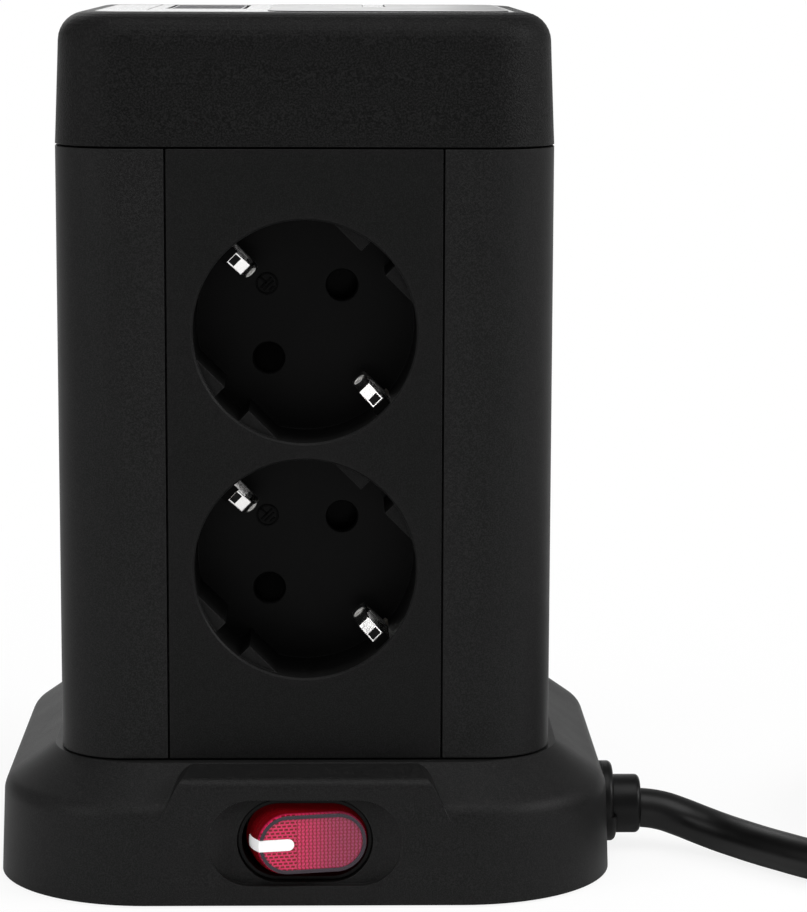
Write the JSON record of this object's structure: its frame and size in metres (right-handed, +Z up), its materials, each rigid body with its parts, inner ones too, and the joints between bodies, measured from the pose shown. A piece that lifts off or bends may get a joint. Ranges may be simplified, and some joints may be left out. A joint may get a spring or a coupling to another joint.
{
  "type": "tower power strip",
  "caption": "Square tower power strip with earthed sockets on every side, wide foot with a lit rocker switch, charging ports on top and a coiled cord with plug.",
  "frame": {"origin": "middle of the foot, on the surface it stands on", "axes": "+Z up the column; -Y is the side with the switch; the cord leaves at +X"},
  "size_m": [0.3069, 0.1447, 0.1582],
  "materials": {
    "shell": "fine-grained satin moulding",
    "cap_shell": "fine-grained satin moulding",
    "panel": "smooth satin moulding",
    "rubber": "matte",
    "gland": "satin",
    "cord_sheath": "satin sheath",
    "plug_rubber": "satin moulding",
    "switch_black": "satin",
    "switch_rim": "satin",
    "rocker_lens": "clear red, ribbed behind the face",
    "mark_white": "printed white",
    "lamp": "clear",
    "screw_steel": "zinc plated",
    "clip_steel": "nickel plated",
    "port_steel": "nickel plated",
    "pin_metal": "nickel plated",
    "contact_brass": "stamped",
    "inner_white": "natural",
    "board": "soldermask",
    "wire_sheath": "smooth"
  },
  "bodies": {
    "root": {"base_housing": "shell", "base_plate": "shell", "rubber_feet": "rubber", "base_screws": "screw_steel", "cord_clamp": "shell", "clamp_screws": "screw_steel", "switch_case": "switch_black", "switch_terminals": "contact_brass", "indicator_lamp": "lamp", "top_cap": "cap_shell", "top_panel": "cap_shell", "grip_pad": "rubber", "usb_ports": "port_steel", "usb_board": "board", "post_screws": "screw_steel", "inner_wires": "wire_sheath", "gland_upper": "gland", "gland_lower": "gland", "cord_lead": "cord_sheath", "cord_coil": "cord_sheath", "cord_tail": "cord_sheath", "plug_body": "plug_rubber", "plug_pins": "pin_metal", "plug_earth": "contact_brass", "corner_post_front_right": "shell", "corner_post_back_right": "shell", "corner_post_back_left": "shell", "corner_post_front_left": "shell", "side_panel_front": "panel", "contact_carrier_front": "inner_white", "live_rail_front": "contact_brass", "neutral_rail_front": "contact_brass", "earth_strip_front": "clip_steel", "side_panel_right": "panel", "contact_carrier_right": "inner_white", "live_rail_right": "contact_brass", "neutral_rail_right": "contact_brass", "earth_strip_right": "clip_steel", "side_panel_back": "panel", "contact_carrier_back": "inner_white", "live_rail_back": "contact_brass", "neutral_rail_back": "contact_brass", "earth_strip_back": "clip_steel", "side_panel_left": "panel", "contact_carrier_left": "inner_white", "live_rail_left": "contact_brass", "neutral_rail_left": "contact_brass", "earth_strip_left": "clip_steel"},
    "rocker": {"rocker_body": "rocker_lens", "rocker_rim": "switch_rim", "rocker_mark": "mark_white"},
    "shutter_front_lower": {"shutter_front_lower": "inner_white"},
    "shutter_front_upper": {"shutter_front_upper": "inner_white"},
    "shutter_right_lower": {"shutter_right_lower": "inner_white"},
    "shutter_right_upper": {"shutter_right_upper": "inner_white"},
    "shutter_back_lower": {"shutter_back_lower": "inner_white"},
    "shutter_back_upper": {"shutter_back_upper": "inner_white"},
    "shutter_left_lower": {"shutter_left_lower": "inner_white"},
    "shutter_left_upper": {"shutter_left_upper": "inner_white"}
  },
  "joints": [
    {"name": "rocker_tilt", "type": "hinge", "parent": "root", "child": "rocker", "pos_m": [0, -0.04883, 0.0116], "axis": [0, 0, -1], "range_deg": [0, 22]},
    {"name": "shutter_turn_front_lower", "type": "hinge", "parent": "root", "child": "shutter_front_lower", "pos_m": [0, -0.02415, 0.05904], "axis": [0, -1, 0], "range_deg": [0, 42], "stiffness_Nm_per_rad": 0.0005, "springref_deg": -11.46},
    {"name": "shutter_turn_front_upper", "type": "hinge", "parent": "root", "child": "shutter_front_upper", "pos_m": [0, -0.02415, 0.10184], "axis": [0, -1, 0], "range_deg": [0, 42], "stiffness_Nm_per_rad": 0.0005, "springref_deg": -11.46},
    {"name": "shutter_turn_right_lower", "type": "hinge", "parent": "root", "child": "shutter_right_lower", "pos_m": [0.02415, 0, 0.05904], "axis": [1, 0, 0], "range_deg": [0, 42], "stiffness_Nm_per_rad": 0.0005, "springref_deg": -11.46},
    {"name": "shutter_turn_right_upper", "type": "hinge", "parent": "root", "child": "shutter_right_upper", "pos_m": [0.02415, 0, 0.10184], "axis": [1, 0, 0], "range_deg": [0, 42], "stiffness_Nm_per_rad": 0.0005, "springref_deg": -11.46},
    {"name": "shutter_turn_back_lower", "type": "hinge", "parent": "root", "child": "shutter_back_lower", "pos_m": [0, 0.02415, 0.05904], "axis": [0, 1, 0], "range_deg": [0, 42], "stiffness_Nm_per_rad": 0.0005, "springref_deg": -11.46},
    {"name": "shutter_turn_back_upper", "type": "hinge", "parent": "root", "child": "shutter_back_upper", "pos_m": [0, 0.02415, 0.10184], "axis": [0, 1, 0], "range_deg": [0, 42], "stiffness_Nm_per_rad": 0.0005, "springref_deg": -11.46},
    {"name": "shutter_turn_left_lower", "type": "hinge", "parent": "root", "child": "shutter_left_lower", "pos_m": [-0.02415, 0, 0.05904], "axis": [-1, 0, 0], "range_deg": [0, 42], "stiffness_Nm_per_rad": 0.0005, "springref_deg": -11.46},
    {"name": "shutter_turn_left_upper", "type": "hinge", "parent": "root", "child": "shutter_left_upper", "pos_m": [-0.02415, 0, 0.10184], "axis": [-1, 0, 0], "range_deg": [0, 42], "stiffness_Nm_per_rad": 0.0005, "springref_deg": -11.46}
  ]
}
